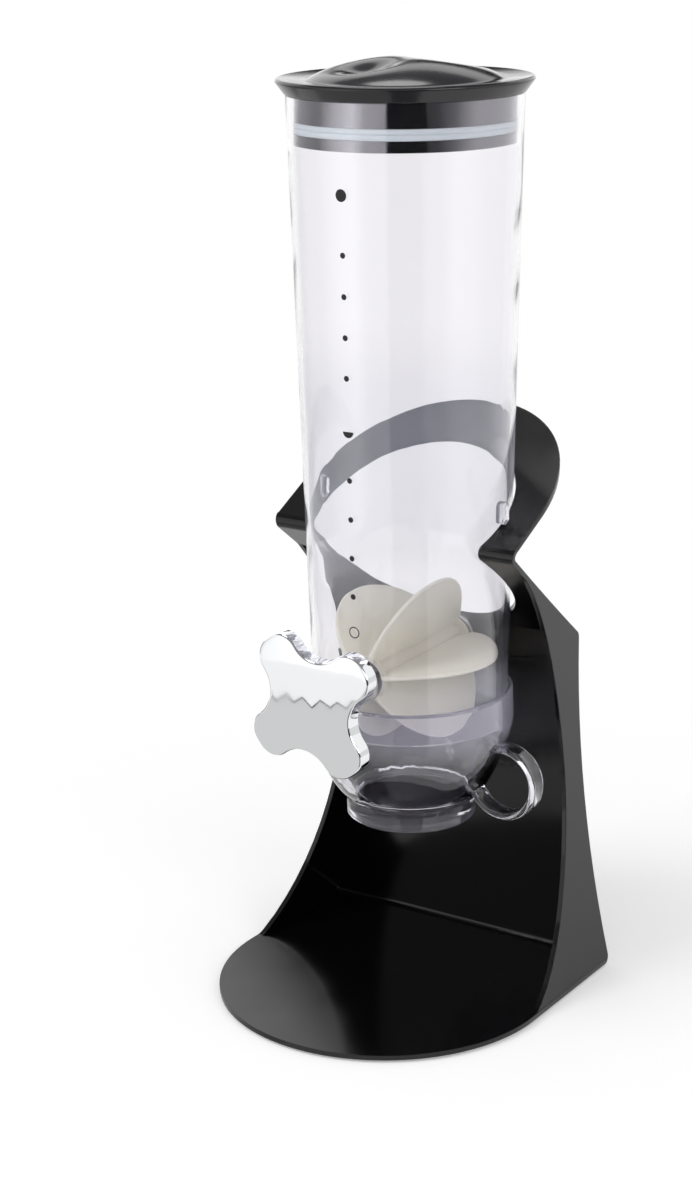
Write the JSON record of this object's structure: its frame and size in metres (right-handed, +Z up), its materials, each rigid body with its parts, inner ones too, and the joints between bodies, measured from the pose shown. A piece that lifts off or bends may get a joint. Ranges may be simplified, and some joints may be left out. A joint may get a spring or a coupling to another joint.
{
  "type": "gravity bulk food bin",
  "caption": "Tall clear canister with a lift-off lid, a knob-driven paddle wheel and a catch cup with a finger loop, hung in a folded sheet stand.",
  "frame": {"origin": "middle of the object's bounding box, on the floor plane under the rubber feet", "axes": "+Z up along the canister, -Y towards the front where the knob and the half-round base are, +X to the cup's handle"},
  "size_m": [0.152, 0.1684, 0.4102],
  "materials": {
    "stand_black": "satin gloss black",
    "foot_rubber": "matt",
    "canister_clear": "clear, polished",
    "lid_black": "gloss",
    "gasket_white": "translucent silicone",
    "cup_clear": "clear, polished",
    "bush_plastic": "natural",
    "seal_rubber": "matt",
    "flap_silicone": "translucent off-white silicone",
    "hub_plastic": "satin off-white",
    "steel": "turned",
    "chrome": "bright plated"
  },
  "bodies": {
    "frame_stand": {"stand": "stand_black", "rubber_feet": "foot_rubber"},
    "bin": {"canister": "canister_clear", "front_bush": "bush_plastic", "rear_bush": "bush_plastic", "shaft_seal": "seal_rubber"},
    "lid": {"lid_cap": "lid_black", "lid_plug": "lid_black", "lid_gasket": "gasket_white"},
    "cup": {"catch_cup": "cup_clear"},
    "wheel": {"drive_shaft": "steel", "rotor_hub": "hub_plastic", "flap_1": "flap_silicone", "flap_2": "flap_silicone", "flap_3": "flap_silicone", "flap_4": "flap_silicone", "flap_5": "flap_silicone", "flap_6": "flap_silicone", "front_end_disc": "hub_plastic", "rear_end_disc": "hub_plastic", "hub_pin": "steel", "retaining_clip": "steel", "knob_front": "chrome", "knob_back": "chrome", "knob_screw": "steel"}
  },
  "joints": [
    {"name": "bin_lift", "type": "slide", "parent": "frame_stand", "child": "bin", "axis": [0, 0, 1], "range_m": [0, 0.05]},
    {"name": "lid_lift", "type": "slide", "parent": "bin", "child": "lid", "axis": [0, 0, 1], "range_m": [0, 0.06]},
    {"name": "cup_pull", "type": "slide", "parent": "bin", "child": "cup", "axis": [0, 0, -1], "range_m": [0, 0.05]},
    {"name": "knob_turn", "type": "hinge", "parent": "bin", "child": "wheel", "pos_m": [0, 0.01375, 0.1506], "axis": [0, -1, 0], "continuous": true}
  ]
}
